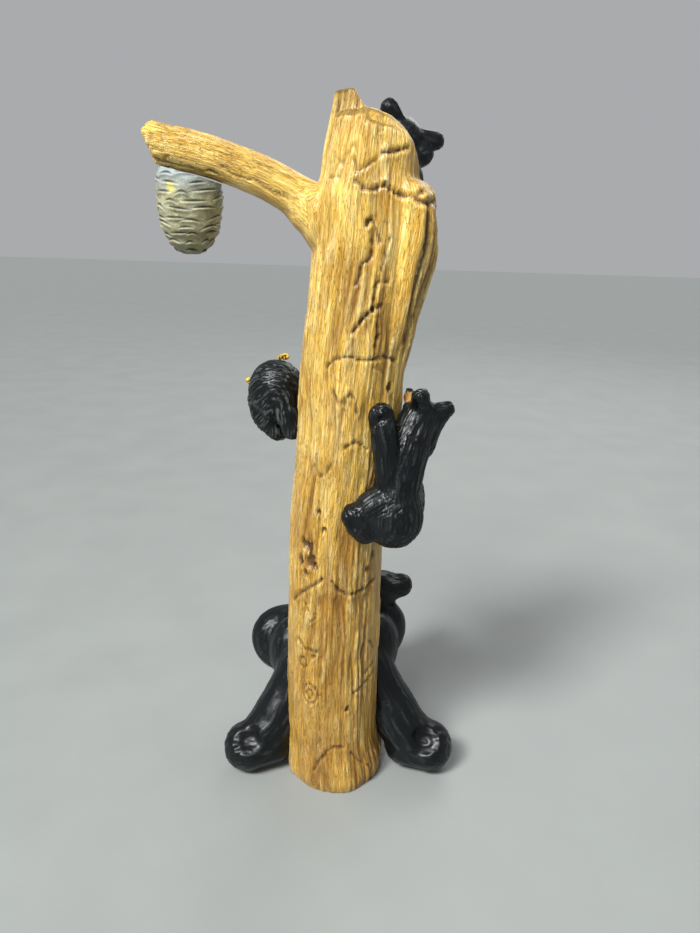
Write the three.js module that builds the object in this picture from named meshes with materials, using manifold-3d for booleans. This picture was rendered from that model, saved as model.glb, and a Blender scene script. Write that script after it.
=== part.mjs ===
// A figurine of bears on a log: a tan log with a broken top and one branch, a nest hanging
// from the branch, a mother bear round its foot, three climbing cubs and three small bees.
// Millimetres, +Z up. The origin is the middle of the footprint, on the ground.

import * as THREE from 'three';
import { mergeVertices } from 'three/addons/utils/BufferGeometryUtils.js';
import Module from 'manifold-3d';

// ---- Driving dimensions -------------------------------------------------------------------

const HEIGHT = 233.5;         // foot of the log to the tip of its broken spike
const TRUNK_RADIUS = 16.2;   // plain middle of the log
const FOOT_RADIUS = 17.8;    // the flare where the log meets the ground
const TOP_RADIUS = 14.2;     // just under the broken top
const BRANCH_RADIUS = 5.9;   // the branch, away from its root
const SLAB_THICKNESS = 5.0;  // the step of thick bark on the right of the top
const GAP = 0.3;             // clearance between two touching pieces
const BEE_LENGTH = 4.2;
const FOOT_TOE = 1.9;          // how much further the foot of the log comes forward

const TRUNK_SIDES = 24;
const TRUNK_STATIONS = 18;

const wasm = await Module();
wasm.setup();

// ---- Small helpers ------------------------------------------------------------------------

const vec = (x, y, z) => new THREE.Vector3(x, y, z);
const degrees = THREE.MathUtils.degToRad;
const mix = THREE.MathUtils.lerp;
const smooth = (x, from, to) => THREE.MathUtils.smoothstep(x, from, to);

// A value that follows hand-set stops [position, value], eased between them.
function along(stops, position) {
  const last = stops.length - 1;
  if (position <= stops[0][0]) return stops[0][1];
  if (position >= stops[last][0]) return stops[last][1];
  const i = stops.findIndex((stop, k) => k < last && position < stops[k + 1][0]);
  const t = (position - stops[i][0]) / (stops[i + 1][0] - stops[i][0]);
  return mix(stops[i][1], stops[i + 1][1], t * t * (3 - 2 * t));
}

// ---- Solids -------------------------------------------------------------------------------

function toSolid(geometry) {
  const plain = geometry.clone();
  plain.deleteAttribute('normal');
  plain.deleteAttribute('uv');
  const merged = mergeVertices(plain, 1e-4);
  return new wasm.Manifold(new wasm.Mesh({
    numProp: 3,
    vertProperties: new Float32Array(merged.attributes.position.array),
    triVerts: new Uint32Array(merged.index.array),
  }));
}

function toGeometry(solid) {
  const mesh = solid.getMesh();
  const geometry = new THREE.BufferGeometry();
  geometry.setAttribute('position', new THREE.BufferAttribute(mesh.vertProperties, 3));
  geometry.setIndex(new THREE.BufferAttribute(mesh.triVerts, 1));
  geometry.computeVertexNormals();
  return geometry;
}

const join = (solids) => solids.reduce((whole, solid) => whole.add(solid));

// A closed skin over rings of equal length, with a point at the middle of each end ring.
function loft(rings) {
  const sides = rings[0].length;
  const positions = [];
  const index = [];
  const middle = (ring) => ring.reduce((sum, p) => sum.add(p), vec(0, 0, 0)).divideScalar(sides);
  for (const ring of rings) {
    for (const p of ring) positions.push(p.x, p.y, p.z);
  }
  for (let r = 0; r + 1 < rings.length; r += 1) {
    for (let s = 0; s < sides; s += 1) {
      const a = r * sides + s;
      const b = r * sides + (s + 1) % sides;
      index.push(a, b, b + sides, a, b + sides, a + sides);
    }
  }
  const first = middle(rings[0]);
  const last = middle(rings[rings.length - 1]);
  const start = rings.length * sides;
  positions.push(first.x, first.y, first.z, last.x, last.y, last.z);
  for (let s = 0; s < sides; s += 1) {
    const next = (s + 1) % sides;
    index.push(start, next, s);
    index.push(start + 1, start - sides + s, start - sides + next);
  }
  const geometry = new THREE.BufferGeometry();
  geometry.setAttribute('position', new THREE.Float32BufferAttribute(positions, 3));
  geometry.setIndex(index);
  return toSolid(geometry);
}

// An egg with three half sizes, turned by angles in degrees about X, Y and Z.
function egg(centre, halfSizes, turn = [0, 0, 0], detail = 10) {
  const geometry = new THREE.SphereGeometry(1, detail, Math.round(detail * 0.6));
  geometry.scale(halfSizes[0], halfSizes[1], halfSizes[2]);
  const angles = new THREE.Euler(degrees(turn[0]), degrees(turn[1]), degrees(turn[2]));
  geometry.applyMatrix4(new THREE.Matrix4().makeRotationFromEuler(angles));
  geometry.translate(centre.x, centre.y, centre.z);
  return toSolid(geometry);
}

// A limb: round sections along a curve through its joints, with a dome at each end.
function limb(joints, radii, { sides = 8, stations = 2, dome = 2, extra = 0 } = {}) {
  const curve = new THREE.CatmullRomCurve3(joints, false, 'centripetal');
  const frames = curve.computeFrenetFrames(stations, false);
  const stops = radii.map((radius, i) => [i / (radii.length - 1), radius + extra]);
  const rings = [];
  const addRing = (station, radius, shift) => {
    const centre = curve.getPointAt(station / stations);
    centre.addScaledVector(frames.tangents[station], shift);
    const ring = [];
    for (let s = 0; s < sides; s += 1) {
      const turn = (2 * Math.PI * s) / sides;
      ring.push(centre.clone()
        .addScaledVector(frames.normals[station], radius * Math.cos(turn))
        .addScaledVector(frames.binormals[station], radius * Math.sin(turn)));
    }
    rings.push(ring);
  };
  const first = stops[0][1];
  const last = stops[stops.length - 1][1];
  for (let d = 0; d < dome; d += 1) {
    const lift = degrees(12 + (78 * d) / dome);
    addRing(0, first * Math.sin(lift), -first * Math.cos(lift));
  }
  for (let i = 0; i <= stations; i += 1) addRing(i, along(stops, i / stations), 0);
  for (let d = dome - 1; d >= 0; d -= 1) {
    const lift = degrees(12 + (78 * d) / dome);
    addRing(stations, last * Math.sin(lift), last * Math.cos(lift));
  }
  return loft(rings);
}

function block(from, to) {
  const size = to.clone().sub(from);
  const geometry = new THREE.BoxGeometry(size.x, size.y, size.z);
  geometry.translate((from.x + to.x) / 2, (from.y + to.y) / 2, (from.z + to.z) / 2);
  return toSolid(geometry);
}

const aboveGround = (solid) => solid.subtract(block(vec(-200, -200, -60), vec(200, 200, 0)));

// ---- The log ------------------------------------------------------------------------------

// The trunk is a little bent: it stands upright to a third of its height and then leans right.
const AXIS = [[0, -2.4], [22, -4.2], [85, -4.0], [145, -0.6], [200, 2.9], [HEIGHT, 4.9]];
const RADIUS = [
  [0, FOOT_RADIUS - 0.7], [4, FOOT_RADIUS], [24, 16.9], [60, TRUNK_RADIUS], [105, TRUNK_RADIUS],
  [150, 16.7], [178, 16.6], [204, 15.6], [214, TOP_RADIUS], [HEIGHT, TOP_RADIUS - 2],
];

// Adzed flats and swellings, as a share of the radius.
const chisel = (turn, z) => 0.018 * Math.sin(3 * turn + z * 0.045)
  + 0.013 * Math.sin(5 * turn - z * 0.071 + 1.3)
  + 0.008 * Math.sin(9 * turn + z * 0.16);

// The forward face of the spike stands a step behind the wood under it.
const SPIKE_STEP = 1.5;
const SPIKE_FACE = 225;
const SPIKE_FOOT = HEIGHT - 6.9;

function spikeStep(turn, z) {
  const fromFace = Math.abs(turn - degrees(SPIKE_FACE));
  return SPIKE_STEP * smooth(z, SPIKE_FOOT, SPIKE_FOOT + 1) * (1 - smooth(fromFace, 0.4, 0.5));
}

// A place beside the log: angle in degrees from +X towards +Y, height, distance off its axis.
function beside(angle, z, distance) {
  const turn = degrees(angle);
  return vec(along(AXIS, z) + distance * Math.cos(turn), distance * Math.sin(turn), z);
}

function trunk(extra) {
  const rings = [];
  for (let i = 0; i <= TRUNK_STATIONS; i += 1) {
    const z = (HEIGHT * i) / TRUNK_STATIONS;
    const ring = [];
    for (let s = 0; s < TRUNK_SIDES; s += 1) {
      const turn = (2 * Math.PI * s) / TRUNK_SIDES;
      const toe = FOOT_TOE * Math.max(0, -Math.sin(turn)) * (1 - smooth(z, 2, 16));
      const radius = along(RADIUS, z) * (1 + chisel(turn, z)) + toe + extra - spikeStep(turn, z);
      ring.push(vec(along(AXIS, z) + radius * Math.cos(turn), radius * Math.sin(turn), z));
    }
    rings.push(ring);
  }
  return loft(rings);
}

// The thick bark left on the right of the top ends above in a step and fades out below.
const SLAB_FOOT = 150;
const SLAB_TOP = 210;
const SLAB_ROUND = 7;          // the height over which its top edge is rounded
const SLAB_HALF_ANGLE = 62;

function barkSlab(extra) {
  const rings = [];
  const stations = 8;
  for (let i = 0; i <= stations; i += 1) {
    const z = mix(SLAB_FOOT, SLAB_TOP, Math.sin((Math.PI * i) / (2 * stations)));
    const swell = SLAB_THICKNESS * smooth(z, SLAB_FOOT, SLAB_TOP - 12);
    const step = Math.sqrt(1 - Math.max(0, (z - SLAB_TOP + SLAB_ROUND) / (SLAB_ROUND + 0.6)) ** 2);
    const ring = [];
    for (let s = 0; s < TRUNK_SIDES; s += 1) {
      const turn = (2 * Math.PI * s) / TRUNK_SIDES;
      const fromRight = Math.abs(THREE.MathUtils.euclideanModulo(turn + Math.PI, 2 * Math.PI) - Math.PI);
      const share = 1 - smooth(fromRight, degrees(SLAB_HALF_ANGLE - 30), degrees(SLAB_HALF_ANGLE));
      const ragged = 0.5 * Math.sin(4 * turn + z * 0.21) * smooth(z, SLAB_FOOT, SLAB_FOOT + 12);
      const bark = share * step * (swell + ragged) - 1.2 * (1 - share);
      const radius = along(RADIUS, z) * (1 + chisel(turn, z)) + bark + extra;
      const lift = i === stations ? extra : 0;
      ring.push(vec(along(AXIS, z) + radius * Math.cos(turn), radius * Math.sin(turn), z + lift));
    }
    rings.push(ring);
  }
  return loft(rings);
}

const BRANCH_JOINTS = [
  vec(2, 0, 192), vec(-9, 0, 198), vec(-17.5, 0, 204.2), vec(-24.8, -1, 208.3), vec(-32.1, -2, 211.3),
  vec(-39.2, -3, 213.6), vec(-46.2, -4, 215.4), vec(-53.1, -5, 216.7), vec(-62.5, -6, 218.1),
];
const BRANCH_RADII = [11.5, 10.4, 7.6, 6.1, BRANCH_RADIUS, 5.7, 5.7, 5.8, 6];

function branch(extra) {
  const tube = limb(BRANCH_JOINTS, BRANCH_RADII, { sides: 10, stations: 12, dome: 2, extra });
  if (extra > 0) return tube;
  // The end is a slanted break, blunt above, with a torn splinter left under it.
  const end = vec(-60.4, -6, 217.2);
  const cut = block(vec(-14, -14, -14), vec(0, 14, 14))
    .rotate([0, -22, 6]).translate([end.x, end.y, end.z]);
  const corner = block(vec(-14, -14, -14), vec(0, 14, 14))
    .rotate([0, 44, 10]).translate([end.x - 0.9, end.y, end.z + 4.2]);
  const splinter = block(vec(-10, -12, -0.5), vec(0, 12, 0.3))
    .rotate([0, -18, 0]).translate([end.x + 8, end.y, end.z - 5.2]);
  return tube.subtract(cut).subtract(corner).subtract(splinter);
}

// Everything over the broken top is cut off: a shoulder that falls to the right as a quarter
// of an ellipse, with a spike left standing at its left.
const SHOULDER_CENTRE = [0.5, 208];
const SHOULDER_HALF = [18, 20.4];
const SPIKE_LEFT = -8;
const SPIKE_RIGHT = -2.2;
const BEVEL_BACK = -9;         // the forward edge of the shoulder is bevelled as far back as this
const BEVEL_SLOPE = 1.1;
const CUTTER_TOP = HEIGHT + 30;
const CUTTER_RIGHT = 60;

function shoulderPoints() {
  const points = [];
  const steps = 7;
  for (let i = 0; i <= steps; i += 1) {
    const turn = mix(degrees(88), 0, i / steps);
    points.push([SHOULDER_CENTRE[0] + SHOULDER_HALF[0] * Math.cos(turn),
      SHOULDER_CENTRE[1] + SHOULDER_HALF[1] * Math.sin(turn)]);
  }
  points.push([SHOULDER_CENTRE[0] + SHOULDER_HALF[0] + 1, SHOULDER_CENTRE[1] - 2]);
  points.push([CUTTER_RIGHT, SHOULDER_CENTRE[1] - 3]);
  points.push([CUTTER_RIGHT, CUTTER_TOP]);
  return points;
}

// A prism over [x, z] points from y = front to y = back, which rises by slope as it goes back.
function prism(points, front, back, slope = 0) {
  const outline = new THREE.Shape(points.map(([x, z]) => new THREE.Vector2(x, z)));
  const geometry = new THREE.ExtrudeGeometry(outline, { depth: back - front, bevelEnabled: false });
  geometry.rotateX(Math.PI / 2);
  geometry.translate(0, back, 0);
  const shear = new THREE.Matrix4().makeShear(0, 0, 0, slope, 0, 0);
  geometry.translate(0, -back, 0).applyMatrix4(shear).translate(0, back, 0);
  return toSolid(geometry);
}

function brokenTop() {
  const shoulder = shoulderPoints();
  const outline = [
    [SPIKE_LEFT - 12, CUTTER_TOP], [SPIKE_LEFT - 12, HEIGHT - 8], [SPIKE_LEFT, HEIGHT - 2],
    [SPIKE_LEFT + 0.9, HEIGHT], [SPIKE_RIGHT, HEIGHT], [SPIKE_RIGHT + 1.5, HEIGHT - 1.8],
    [SPIKE_RIGHT + 3, HEIGHT - 5], ...shoulder,
  ];
  const bevel = [[SPIKE_RIGHT + 3, CUTTER_TOP], [SPIKE_RIGHT + 3, HEIGHT - 5], ...shoulder];
  return prism(outline, -35, 35).add(prism(bevel, -35, BEVEL_BACK, BEVEL_SLOPE));
}

// The wood behind the spike is hollowed and broken lower than the side that faces forward.
function topHollow() {
  return join([
    egg(vec(7, 4, 233), [10, 9, 9], [0, 25, 0], 20),
    egg(vec(-3, 16, 238), [14, 9, 13], [12, 0, 0], 20),
  ]);
}

function logSolid(extra = 0) {
  const body = join([trunk(extra), barkSlab(extra), branch(extra)]);
  if (extra > 0) return body;
  return aboveGround(body.subtract(brokenTop()).subtract(topHollow()));
}

// ---- The nest -----------------------------------------------------------------------------

const NEST_AXIS = [-49.7, -4];
const NEST_FOOT = 187.6;
const NEST_HEIGHT = 26;
const NEST_RADIUS = 9.2;
const NEST_TIERS = 6;
// Half widths up the nest, by share of its height.
const NEST_PROFILE = [
  [0, 2.6], [0.04, 4.6], [0.12, 6.6], [0.3, 8.6], [0.52, 9.4], [0.8, NEST_RADIUS], [1, 7.4],
];
const NEST_LID = 209.8;        // where its sloping top crosses its axis
const NEST_LID_TILT = 14;      // degrees

function nestSolid() {
  const profile = [new THREE.Vector2(0, 0)];
  const steps = 16;
  for (let i = 0; i <= steps; i += 1) {
    const t = i / steps;
    const belly = along(NEST_PROFILE, t);
    const tier = (t * NEST_TIERS) % 1;
    profile.push(new THREE.Vector2(belly + 0.5 * (1 - tier), t * NEST_HEIGHT));
  }
  profile.push(new THREE.Vector2(0, NEST_HEIGHT));
  const geometry = new THREE.LatheGeometry(profile, 16);
  geometry.rotateX(Math.PI / 2);
  geometry.translate(NEST_AXIS[0], NEST_AXIS[1], NEST_FOOT);
  // Its top slopes with the underside of the branch, which it is stuck to.
  const above = block(vec(-20, -20, 0), vec(20, 20, 20))
    .rotate([0, NEST_LID_TILT, 0]).translate([NEST_AXIS[0], NEST_AXIS[1], NEST_LID]);
  return toSolid(geometry).subtract(branch(GAP)).subtract(above);
}

// ---- Bears --------------------------------------------------------------------------------

// A head: skull, muzzle and two ears. `look` points out of the muzzle and `up`
// towards the crown. `size` is the half width of the skull. The ears stand at earAngle over
// the line through both temples, or reach to earTips.
function head(centre, look, up, size,
  { earAngle = 50, earReach = [1.4, 1.4], earRadii = [0.52, 0.4, 0.48], earTips = null, snout = 1.5 } = {}) {
  const forward = look.clone().normalize();
  const side = new THREE.Vector3().crossVectors(forward, up).normalize();
  const crown = new THREE.Vector3().crossVectors(side, forward).normalize();
  const place = (a, b, c) => centre.clone().addScaledVector(side, a * size)
    .addScaledVector(forward, b * size).addScaledVector(crown, c * size);
  const ear = (which) => {
    const out = Math.cos(degrees(earAngle));
    const lift = Math.sin(degrees(earAngle));
    const reach = earReach[which < 0 ? 0 : 1];
    const at = (share) => place(which * out * share, -0.12, lift * share);
    const joints = earTips
      ? [0.3, 0.65, 1].map((share) => centre.clone().lerp(earTips[which < 0 ? 0 : 1], share))
      : [at(0.4), at(0.5 + reach * 0.3), at(reach - 0.3)];
    return limb(joints, earRadii.map((share) => share * size), { sides: 7, stations: 2 });
  };
  const tip = snout - 0.36;
  return join([
    limb([place(0, -0.3, 0), place(0, 0.2, 0.02), place(0, 0.7, -0.14)],
      [0.88 * size, 0.96 * size, 0.62 * size], { sides: 9, stations: 2 }),
    limb([place(0, 0.7, -0.2), place(0, tip, -0.3)], [0.54 * size, 0.38 * size],
      { sides: 8, stations: 1 }),
    ear(-1),
    ear(1),
  ]);
}

// A foot: a long pad whose sole is dished.
function foot(heel, toe, radius, sole) {
  const pad = limb([heel, heel.clone().lerp(toe, 0.5), toe], [radius * 0.86, radius * 0.92, radius],
    { sides: 8, stations: 2 });
  const dish = egg(heel.clone().lerp(toe, 0.7).addScaledVector(sole, radius * 1.12),
    [radius * 0.62, radius * 0.62, radius * 0.5], [0, 0, 0], 8);
  return pad.subtract(dish);
}

const clearOfLog = (solid) => aboveGround(solid.subtract(logSolid(GAP)));

// She sits behind the log on her rump and hugs it with all four legs, soles forward.
function motherBear() {
  const body = join([
    egg(vec(-4, 38, 17.5), [22, 19, 18.5], [0, 0, 0], 12),
    limb([vec(-4, 38, 20), vec(-3, 39, 38), vec(-1, 38, 52)], [19, 16, 12.5], { sides: 10, stations: 3 }),
    egg(vec(-18.2, 18, 35), [11.8, 12, 16.5], [8, -10, 0], 10),
    egg(vec(10.6, 18, 38), [11, 12, 16.5], [8, 10, 0], 10),
    limb([vec(-15.5, 9, 37), vec(-20.5, 5.5, 27), vec(-25.5, 0.8, 16.5), vec(-31, -3.4, 10)],
      [9.4, 8.8, 9.8, 9.6], { sides: 10, stations: 4 }),
    limb([vec(8.2, 10, 40), vec(14.8, 6.5, 29), vec(22, 1.4, 17), vec(28.5, -1.4, 10.2)],
      [8.8, 8.6, 9.6, 9.6], { sides: 10, stations: 4 }),
    foot(vec(-26.5, -3, 8.6), vec(-35.2, -5.6, 9), 9.4, vec(-0.3, -0.8, 0.5).normalize()),
    foot(vec(24.5, -1.5, 9), vec(33, -2.8, 9.5), 9.6, vec(0.3, -0.8, 0.5).normalize()),
    limb([vec(-13, 34, 40.5), vec(-29.2, 29, 39.4), vec(-29.4, 25, 32.5), vec(-19, 18, 31)],
      [7.4, 8.2, 7.2, 6.4], { sides: 8, stations: 4 }),
    limb([vec(9, 34, 45), vec(17, 29.5, 45.2), vec(17.2, 26, 38), vec(10, 18, 35)],
      [7.2, 7.2, 6.6, 6], { sides: 8, stations: 4 }),
    head(vec(3.2, 37, 53.4), vec(-0.25, -0.28, 0.9), vec(0.75, 0.6, 0.26), 13,
      { earReach: [1.82, 1.86], earRadii: [0.74, 0.58, 0.39] }),
  ]);
  return clearOfLog(body);
}

function rightCub() {
  const body = join([
    limb([beside(-43, 108.5, 23.6), beside(-39, 120, 22.2), beside(-30, 132, 22), beside(-21, 139, 23.4)],
      [9.8, 7.8, 7.8, 6.4], { sides: 10, stations: 4 }),
    limb([beside(-42, 114, 22.6), beside(-58, 112, 20.6), beside(-70, 107.5, 19.8)], [7.8, 6.6, 5.2]),
    limb([beside(-28, 111, 23), beside(4, 113, 21), beside(34, 109, 19.5)], [7.4, 6.6, 5.2]),
    foot(beside(-65, 104.5, 20.5), beside(-75, 110, 20), 4.9, vec(-0.35, -0.9, 0.1).normalize()),
    limb([beside(-48, 120, 21.8), beside(-55, 131, 21), beside(-61, 142.5, 20)], [4.6, 4.3, 4.2]),
    limb([beside(-22, 131, 22), beside(4, 134, 20.4), beside(20, 135, 19.5)], [4.6, 4.1, 3.8]),
    limb([vec(23, -7.4, 138.5), vec(28.4, -6.8, 141)], [6.2, 3.4], { stations: 1 }),
    limb([vec(22.7, -8, 140), vec(21.6, -11, 145.2)], [5.4, 3.2], { stations: 1 }),
    limb([vec(22, -9, 131), vec(27.4, -7, 139.5)], [5, 3.2], { stations: 1 }),
    head(beside(-17.5, 140, 23.8), vec(-0.3, 0.6, 0.8), vec(0.56, -0.5, 0.62), 6,
      { earTips: [vec(21.2, -12, 147.6), vec(30, -6.7, 142.6)], earRadii: [0.62, 0.54, 0.51], snout: 1.7 }),
  ]);
  return clearOfLog(body);
}

function leftCub() {
  const body = join([
    egg(vec(-26, 12, 143.2), [9.8, 9.8, 10.4], [0, 0, 0], 12),
    limb([vec(-24, 14, 141), vec(-19, 22, 138.5), vec(-12, 29, 142)], [9, 7.6, 6.2],
      { sides: 10, stations: 4 }),
    limb([vec(-24, 8.5, 141.5), vec(-21.6, 6.5, 136), vec(-20, 5.5, 130.8)], [6.6, 5, 3.6]),
    limb([vec(-32, 14, 139), vec(-29.8, 13, 133.5), vec(-25.6, 13, 129.4)], [4.6, 4.9, 4.8]),
    egg(vec(-27.6, 4.6, 138.2), [2.9, 2.4, 3.6], [0, 20, 0], 10),
    limb([vec(-16, 25, 136), vec(-14, 21, 134), vec(-6, 19, 133)], [4.4, 4, 3.7]),
    limb([vec(-9, 28, 143), vec(0, 24, 147), vec(5, 20, 151)], [4.3, 3.9, 3.7]),
    head(vec(-6, 32, 147), vec(0.6, 0.35, 0.5), vec(-0.3, 0.6, 0.6), 6.2),
  ]);
  return clearOfLog(body);
}

function topCub() {
  const body = join([
    limb([beside(84, 180, 23), beside(82, 195, 22.4), beside(68, 208, 21), beside(60, 217, 20.4)],
      [9, 8.2, 7, 5.8], { sides: 10, stations: 4 }),
    limb([beside(96, 182, 22), beside(108, 185, 20.6), beside(116, 180, 19.8)], [7.4, 6.2, 5.2]),
    limb([beside(68, 182, 22), beside(50, 185, 21), beside(38, 180, 20.5)], [7.2, 6, 5]),
    foot(beside(112, 176, 20.2), beside(119, 181, 19.6), 4.7, vec(-0.6, 0.7, 0).normalize()),
    limb([beside(92, 205, 20), beside(104, 212, 17), beside(112, 219, 14)], [4.2, 3.8, 3.6]),
    limb([beside(54, 205, 20), beside(40, 211, 17), beside(30, 214, 13)], [4.2, 3.8, 3.6]),
    limb([vec(13, 20, 221), vec(19.5, 19, 219.5)], [5, 4.2], { stations: 1 }),
    head(vec(13.9, 20, 224.4), vec(-0.1, 0.75, 0.12), vec(0.48, 0.12, 0.87), 6.2,
      { earAngle: 26, earReach: [1.84, 1.92], earRadii: [0.72, 0.5, 0.5] }),
  ]);
  return clearOfLog(body);
}

// ---- Bees ---------------------------------------------------------------------------------

// A bee: a striped body with two wings laid back over it.
function bee(centre, heading) {
  const half = BEE_LENGTH / 2;
  const body = join([
    egg(vec(-0.35 * half, 0, 0), [half * 0.72, half * 0.46, half * 0.46], [0, 0, 0], 8),
    egg(vec(0.62 * half, 0, 0), [half * 0.42, half * 0.38, half * 0.38], [0, 0, 0], 6),
    egg(vec(-0.2 * half, 0.55 * half, 0.42 * half), [half * 0.62, half * 0.3, half * 0.14], [0, 0, 24], 6),
    egg(vec(-0.2 * half, -0.55 * half, 0.42 * half), [half * 0.62, half * 0.3, half * 0.14], [0, 0, -24], 6),
  ]);
  return body.rotate(heading).translate([centre.x, centre.y, centre.z]);
}

// Each bee stands off the cub it is on: the cub is moved out by the gap and cut away from it.
const BEES = [
  { name: 'bee_1', centre: vec(-24, 15, 153.7), heading: [0, 10, 160], out: vec(0.1, 0.1, 1) },
  { name: 'bee_2', centre: vec(-35.7, 16, 144.4), heading: [0, 60, 40], out: vec(-0.9, 0.2, 0.2) },
];

// ---- The figurine -------------------------------------------------------------------------

const figurine = new THREE.Group();
figurine.name = 'bears_on_a_log';

function addPiece(name, solid, color, roughness) {
  const material = new THREE.MeshStandardMaterial({ color, roughness, metalness: 0 });
  const mesh = new THREE.Mesh(toGeometry(solid), material);
  mesh.name = name;
  figurine.add(mesh);
}

const WOOD_TAN = 0xc69a4e;
const BEAR_BLACK = 0x24272a;
const NEST_OLIVE = 0x7b8064;
const BEE_YELLOW = 0xd6ae3a;

addPiece('log', logSolid(), WOOD_TAN, 0.42);
addPiece('hive', nestSolid(), NEST_OLIVE, 0.6);
const leftCubSolid = leftCub();
addPiece('mother_bear', motherBear(), BEAR_BLACK, 0.45);
addPiece('right_cub', rightCub(), BEAR_BLACK, 0.45);
addPiece('left_cub', leftCubSolid, BEAR_BLACK, 0.45);
addPiece('top_cub', topCub(), BEAR_BLACK, 0.45);
for (const { name, centre, heading, out } of BEES) {
  const shift = out.clone().normalize().multiplyScalar(GAP);
  addPiece(name, bee(centre, heading).subtract(leftCubSolid.translate(shift.toArray())), BEE_YELLOW, 0.5);
}

const box = new THREE.Box3().setFromObject(figurine);
figurine.position.set(-(box.min.x + box.max.x) / 2, -(box.min.y + box.max.y) / 2, -box.min.z);
figurine.updateMatrixWorld(true);

export default figurine;
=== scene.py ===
"""A figurine of bears on a log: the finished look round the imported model.

Forms are worked out in millimetres in the log's own frame (the middle of the log near the
origin, +X right, +Y away, +Z up) and moved to the row frame, in metres, at the end.
"""
import itertools
import math
import bpy
import numpy as np
from mathutils import Euler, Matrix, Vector


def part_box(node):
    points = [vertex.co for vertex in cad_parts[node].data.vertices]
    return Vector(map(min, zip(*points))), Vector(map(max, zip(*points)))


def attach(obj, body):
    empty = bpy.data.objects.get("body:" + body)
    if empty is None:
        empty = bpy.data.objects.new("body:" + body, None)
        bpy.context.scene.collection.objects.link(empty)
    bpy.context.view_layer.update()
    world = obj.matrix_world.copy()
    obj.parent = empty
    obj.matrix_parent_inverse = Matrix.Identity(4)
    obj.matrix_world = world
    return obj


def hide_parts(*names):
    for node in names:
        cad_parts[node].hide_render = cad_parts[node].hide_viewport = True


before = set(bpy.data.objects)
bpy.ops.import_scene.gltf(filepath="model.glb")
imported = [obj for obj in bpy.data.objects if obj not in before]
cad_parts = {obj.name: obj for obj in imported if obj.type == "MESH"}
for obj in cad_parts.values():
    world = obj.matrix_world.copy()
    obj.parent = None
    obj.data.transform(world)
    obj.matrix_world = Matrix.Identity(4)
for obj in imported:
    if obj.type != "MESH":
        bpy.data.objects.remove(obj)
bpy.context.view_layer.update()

# ---- Driving dimensions, in mm ----

HEIGHT = 233.5
TRUNK_RADIUS = 16.2
FOOT_RADIUS = 17.8
TOP_RADIUS = 14.2
BRANCH_RADIUS = 5.9
SLAB_THICKNESS = 5.0
FOOT_TOE = 1.9
NEST_AXIS = (-49.7, -4.0)
NEST_FOOT = 187.6
NEST_HEIGHT = 26.0
NEST_RADIUS = 9.2
BEE_HALF = 2.1
CLEARANCE = 0.15
GROUND_GAP = 0.02
CLEAR_BELOW = HEIGHT - 26       # above this height the log's broken top leaves room

# The log's frame is moved sideways to the row frame by what the nest's place says.
nest_low, nest_high = (np.array(corner) * 1000 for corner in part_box("hive"))
SHIFT = np.array([
    (nest_low[0] + nest_high[0]) / 2 - NEST_AXIS[0],
    (nest_low[1] + nest_high[1]) / 2 - NEST_AXIS[1],
    0.0,
])


def to_row(points):
    """Log frame in mm to row frame in metres."""
    return (np.asarray(points, float) + SHIFT) / 1000


# ---- Curves and noise ----

def columns(*values):
    return np.stack(values, axis=1)


def circle(count):
    """Angles at even steps all the way round."""
    return np.linspace(0, 2 * math.pi, count, endpoint=False)


def ease(x, low, high):
    """0 below low, 1 above high, and a smooth step between them."""
    t = np.clip((x - low) / (high - low), 0, 1)
    return t * t * (3 - 2 * t)


def along(stops, x):
    """A value that eases between stops (position, value), for one number or an array."""
    x = np.asarray(x, float)
    places = [stop[0] for stop in stops]
    values = [stop[1] for stop in stops]
    i = np.clip(np.searchsorted(places, x, side="right") - 1, 0, len(stops) - 2)
    places = np.array(places, float)
    values = np.array(values, float)
    t = np.clip((x - places[i]) / (places[i + 1] - places[i]), 0, 1)
    return values[i] + (values[i + 1] - values[i]) * t * t * (3 - 2 * t)


# Large primes that mix a cell's three numbers and the seed.
MIXERS = (374761393, 668265263, 2147483647)
SEED_MIXER = 1274126177


def lattice(cell, seed):
    """A repeatable random number from -1 to 1 for each whole-number cell."""
    a = cell.astype(np.int64)
    mixed = a[:, 0] * MIXERS[0] + a[:, 1] * MIXERS[1] + a[:, 2] * MIXERS[2] + seed * SEED_MIXER
    mixed = (mixed ^ (mixed >> 13)) * SEED_MIXER & 0xFFFFFFFF
    mixed = (mixed ^ (mixed >> 16)) & 0xFFFF
    return mixed / 32767.5 - 1


def noise(points, seed):
    """Smooth value noise from -1 to 1."""
    base = np.floor(points)
    part = points - base
    part = part * part * part * (part * (part * 6 - 15) + 10)
    total = np.zeros(len(points))
    for corner in range(8):
        offset = np.array([corner & 1, (corner >> 1) & 1, (corner >> 2) & 1])
        share = np.prod(np.where(offset, part, 1 - part), axis=1)
        total += share * lattice(base + offset, seed)
    return total


def sheet_noise(across, up, seed):
    """Smooth noise over a flat sheet."""
    return noise(columns(across, up, up * 0), seed)


def lengths(rows):
    return np.linalg.norm(rows, axis=1)


def bell(x, width):
    """1 at zero, falling off on both sides."""
    return np.exp(-(x / width) ** 2)


def grooves(points, seed, width):
    """1 in thin winding lines where the noise changes sign, 0 elsewhere."""
    return bell(noise(points, seed), width)


def turned(points, angles):
    """Points turned about X, Y and Z by angles in degrees."""
    matrix = np.array(Euler([math.radians(a) for a in angles]).to_matrix())
    return points @ matrix.T


def add_object(name, data):
    """A new object in the scene."""
    obj = bpy.data.objects.new(name, data)
    bpy.context.scene.collection.objects.link(obj)
    return obj


def add_mesh(name, verts, faces):
    """A new mesh object in the scene."""
    mesh = bpy.data.meshes.new(name)
    mesh.from_pydata(np.asarray(verts).tolist(), [], faces)
    return add_object(name, mesh)


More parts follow.
